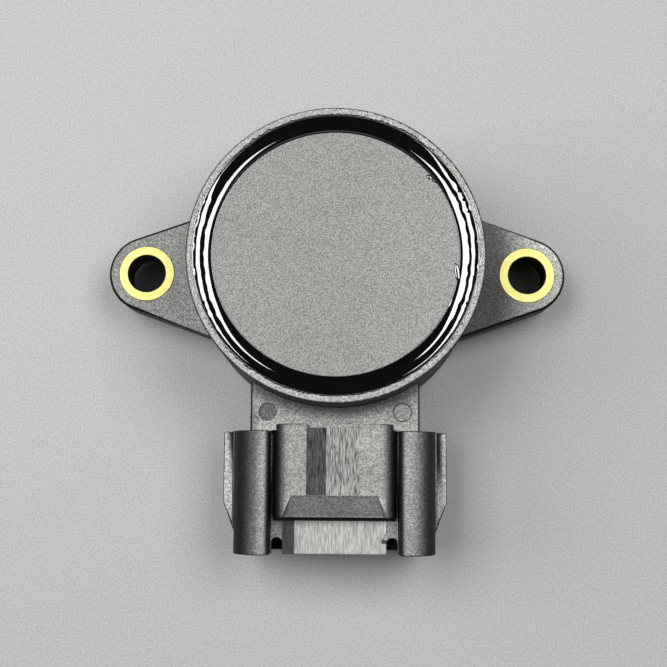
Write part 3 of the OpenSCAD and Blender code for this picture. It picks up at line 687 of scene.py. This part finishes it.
def sealantRing(look):
    low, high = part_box("sealant_ring")
    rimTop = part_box("housing")[1].z
    outer = high.x
    inner = outer - look["width"] * mm
    mesh = bmesh.new()
    rows = []
    for step in range(look["steps"]):
        turn = 2 * math.pi * step / look["steps"]
        ray = Vector((math.cos(turn), math.sin(turn), 0))
        row = sealantRow(look, ray, inner, outer, rimTop - look["below"] * mm, low.z)
        rows.append([mesh.verts.new(point) for point in row])
    for a, b in zip(rows, rows[1:] + rows[:1]):
        for k in range(len(a)):
            j = (k + 1) % len(a)
            mesh.faces.new((a[k], b[k], b[j], a[j]))
    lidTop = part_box("lid")[1].z
    for x, y, *size, turn in look["drops"]:
        foot = Vector((x * mm, y * mm, lidTop - look["dropSunk"] * mm))
        addDrop(mesh, look, foot, [v * mm for v in size], math.radians(turn))
    bmesh.ops.recalc_face_normals(mesh, faces=mesh.faces)
    data = bpy.data.meshes.new("sealant")
    mesh.to_mesh(data)
    mesh.free()
    data.shade_smooth()
    piece = bpy.data.objects.new("sealant", data)
    bpy.context.scene.collection.objects.link(piece)
    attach(piece, "housing")
    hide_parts("sealant_ring")
    return piece


dress(sealantRing(sealantLook), sealantMaterial(sealantLook))
print("sealant poured")


# Inner pieces, seen through the socket and the spigot

innerLooks = {
    # color, roughness, metallic share and the pieces made of it
    "terminal metal": ((0.72, 0.70, 0.64), 0.28, 0.9, [f"terminal_{k}" for k in range(1, 5)]),
    "board laminate": ((0.06, 0.15, 0.09), 0.5, 0.0, ["resistor_board"]),
    "track ink": ((0.02, 0.02, 0.022), 0.4, 0.0, ["tracks"]),
    "solder": ((0.62, 0.62, 0.64), 0.3, 0.9, ["solder_joints"]),
    "rotor plastic": ((0.62, 0.60, 0.52), 0.45, 0.0, ["rotor"]),
    "wiper metal": ((0.78, 0.66, 0.36), 0.3, 0.9, ["signal_wiper", "idle_wiper"]),
    "washer plastic": ((0.72, 0.72, 0.69), 0.45, 0.0, ["thrust_washer"]),
    "spring steel": ((0.42, 0.42, 0.44), 0.32, 0.95, ["return_spring", "spring_washer"]),
}
innerGrain = {
    "size": 0.3,                         # mm across
    "depth": 0.004,                      # mm
    "shades": (0.9, 1.08),
    "smoother": 0.06,                    # how far the roughness goes below the one in the list
    "rougher": 0.08,                     # and above it
}


def innerMaterial(name, color, roughness, metallic):
    s = Shader(name)
    grain = s.grain(innerGrain["size"])
    least = roughness - innerGrain["smoother"]
    rough = s.ramp(grain, *slowNoise, least, roughness + innerGrain["rougher"])
    color = s.shade(color, s.ramp(grain, *slowNoise, *innerGrain["shades"]))
    return s.finish(color, rough, s.bump(grain, innerGrain["depth"]), Metallic=metallic)


for name, (color, roughness, metallic, members) in innerLooks.items():
    material = innerMaterial(name, color, roughness, metallic)
    for member in members:
        dress(member, material)
print("inner pieces dressed")


# Floor, with painted shadows under the ears, and soft light

stageLook = {
    "floor": (0.56, 0.56, 0.55),
    "floorGrain": (0.3, 0.88, 1.12),     # mm across, and its darkest and lightest shade
    "floorRough": 0.8,
    "size": 4.0,                         # m
    "world": 0.02,                       # brightness of the sky as a light
    "backdrop": 0.5,                     # brightness of the far floor and of the sky's low part
    "farFloor": (130, 420),              # mm from the sensor: the floor fades into the backdrop
    "lowSky": (0.3, 0.45),               # height of the view's direction: pale below, dim above
    "paintedShadowUnderEars": (27, 2.94, 5.25, 0.06), # mm aside, radius of the painted shadow and of its edge; share
    "key": ("key box", (-420, 40, 300), (260, 260), 0.85),   # this one is aimed at the sensor
    "lights": [
        # name, middle in mm, size in mm, watts: these two face straight down
        ("left box", (-182, 88, 420), (220, 260), 1.1),
        ("right box", (188, 80, 420), (220, 244), 1.12),
    ],
}


def seenDirectly(tree):
    # 1 for rays from the camera and for those that gloss or glass sends on
    rays = tree.nodes.new("ShaderNodeLightPath")
    total = rays.outputs["Is Camera Ray"]
    for kind in ("Is Glossy Ray", "Is Transmission Ray"):
        node = tree.nodes.new("ShaderNodeMath")
        node.operation = "MAXIMUM"
        tree.links.new(total, node.inputs[0])
        tree.links.new(rays.outputs[kind], node.inputs[1])
        total = node.outputs[0]
    return total


def addFloor(look):
    half = look["size"] / 2
    level = cadBox[0][2]
    data = bpy.data.meshes.new("floor")
    data.from_pydata([(-half, -half, level), (half, -half, level), (half, half, level),
                      (-half, half, level)], [], [(0, 1, 2, 3)])
    floor = bpy.data.objects.new("floor", data)
    bpy.context.scene.collection.objects.link(floor)
    s = Shader("floor")
    size, *shades = look["floorGrain"]
    color = s.shade(look["floor"], s.ramp(s.grain(size, detail=4), *slowNoise, *shades))
    # painted shadow on the floor under each ear's bore
    aside, dark, full, kept = look["paintedShadowUnderEars"]
    for side in (-1, 1):
        spot = s.ramp(s.distance(side * aside, 0), dark * mm, full * mm, 1, 0)
        color = s.dim(color, spot, kept)
    s.finish(color, look["floorRough"])
    away = s.distance(0, 0)
    near, far = look["farFloor"]
    glow = s.tree.nodes.new("ShaderNodeEmission")
    s.join(s.math("MULTIPLY", seenDirectly(s.tree), look["backdrop"]), glow.inputs["Strength"])
    fade = s.tree.nodes.new("ShaderNodeMixShader")
    s.join(s.ramp(away, near * mm, far * mm), fade.inputs[0])
    s.join(s.surface.outputs[0], fade.inputs[1])
    s.join(glow.outputs[0], fade.inputs[2])
    s.join(fade.outputs[0], s.tree.nodes["Material Output"].inputs["Surface"])
    floor.data.materials.append(s.material)


def addLight(name, place, size, watts, aimed=False):
    data = bpy.data.lights.new(name, "AREA")
    data.shape = "RECTANGLE"
    data.size, data.size_y = [v * mm for v in size]
    data.energy = watts
    lamp = bpy.data.objects.new(name, data)
    lamp.location = [v * mm for v in place]
    if aimed:
        lamp.rotation_euler = (-lamp.location).to_track_quat("-Z", "Y").to_euler()
        lamp.visible_glossy = False      # it only fills: the sealant mirrors the other two
    bpy.context.scene.collection.objects.link(lamp)


def addWorld(look):
    world = bpy.data.worlds.new("studio")
    world.use_nodes = True
    tree = world.node_tree
    split = tree.nodes.new("ShaderNodeSeparateXYZ")
    tree.links.new(tree.nodes.new("ShaderNodeTexCoord").outputs["Generated"], split.inputs[0])
    low = tree.nodes.new("ShaderNodeMapRange")
    tree.links.new(split.outputs["Z"], low.inputs["Value"])
    low.inputs["From Min"].default_value, low.inputs["From Max"].default_value = look["lowSky"]
    low.inputs["To Min"].default_value, low.inputs["To Max"].default_value = 1, 0
    share = tree.nodes.new("ShaderNodeMath")
    share.operation = "MULTIPLY"
    tree.links.new(low.outputs[0], share.inputs[0])
    tree.links.new(seenDirectly(tree), share.inputs[1])
    strength = tree.nodes.new("ShaderNodeMapRange")
    tree.links.new(share.outputs[0], strength.inputs["Value"])
    strength.inputs["To Min"].default_value = look["world"]
    strength.inputs["To Max"].default_value = look["backdrop"]
    tree.links.new(strength.outputs[0], tree.nodes["Background"].inputs["Strength"])
    tree.nodes["Background"].inputs["Color"].default_value = (1, 1, 1, 1)
    bpy.context.scene.world = world


addFloor(stageLook)
for light in stageLook["lights"]:
    addLight(*light)
addLight(*stageLook["key"], aimed=True)
addWorld(stageLook)
bpy.context.scene.view_settings.view_transform = "Standard"
print("floor and lights set")
